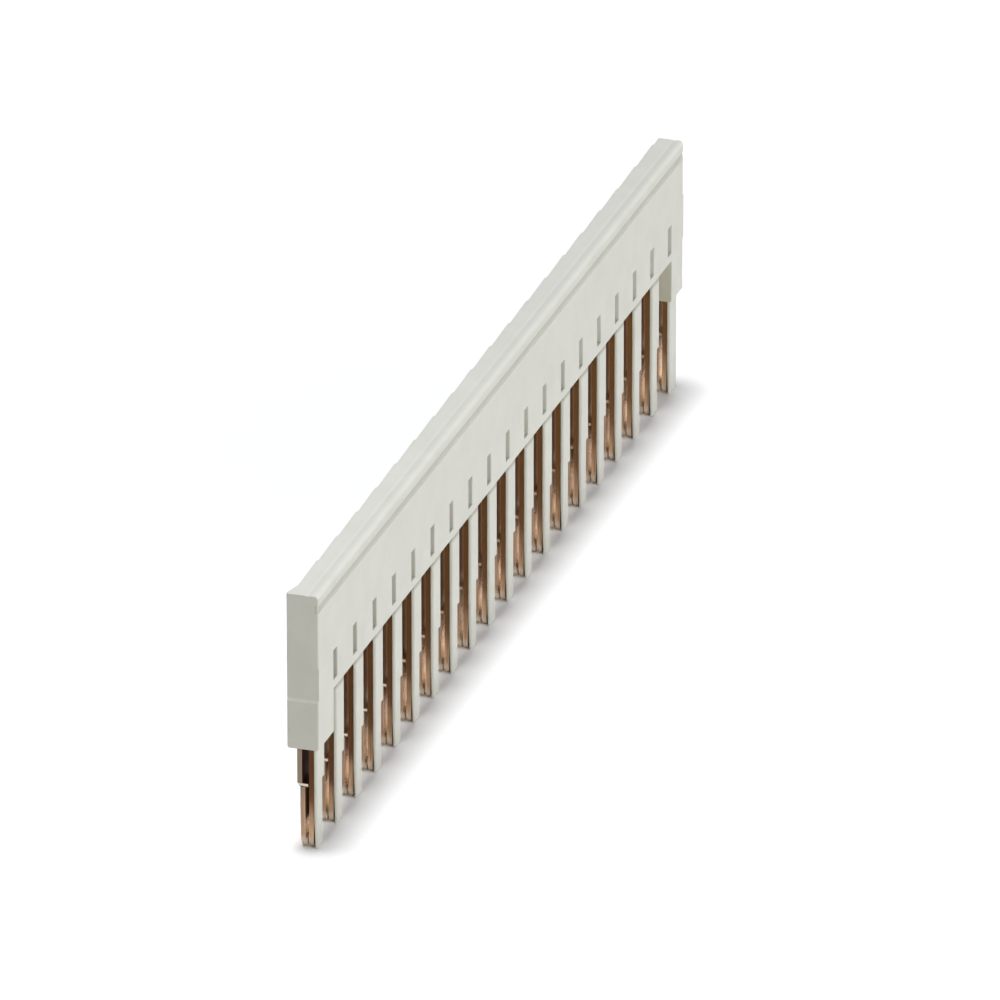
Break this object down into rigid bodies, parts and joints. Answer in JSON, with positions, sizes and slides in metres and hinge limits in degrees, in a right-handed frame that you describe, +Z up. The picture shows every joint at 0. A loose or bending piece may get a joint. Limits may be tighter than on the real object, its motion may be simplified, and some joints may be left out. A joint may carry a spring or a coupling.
{
  "type": "terminal block jumper",
  "caption": "Plug-in comb jumper: a slim light grey insulating bar with a row of sprung copper legs that links neighbouring terminal blocks.",
  "frame": {"origin": "on the plane of the leg tips, under the middle of the overall box", "axes": "+X along the row of poles from the near end to the far end, +Y from the front face to the rear face, +Z up from the leg tips to the top"},
  "size_m": [0.1026, 0.0028, 0.0227],
  "materials": {
    "housing_plastic": "fine satin moulding",
    "contact_copper": "bare rolled copper alloy, satin"
  },
  "bodies": {
    "root": {"housing": "housing_plastic", "front_contact_comb": "contact_copper", "rear_contact_comb": "contact_copper"}
  },
  "joints": []
}
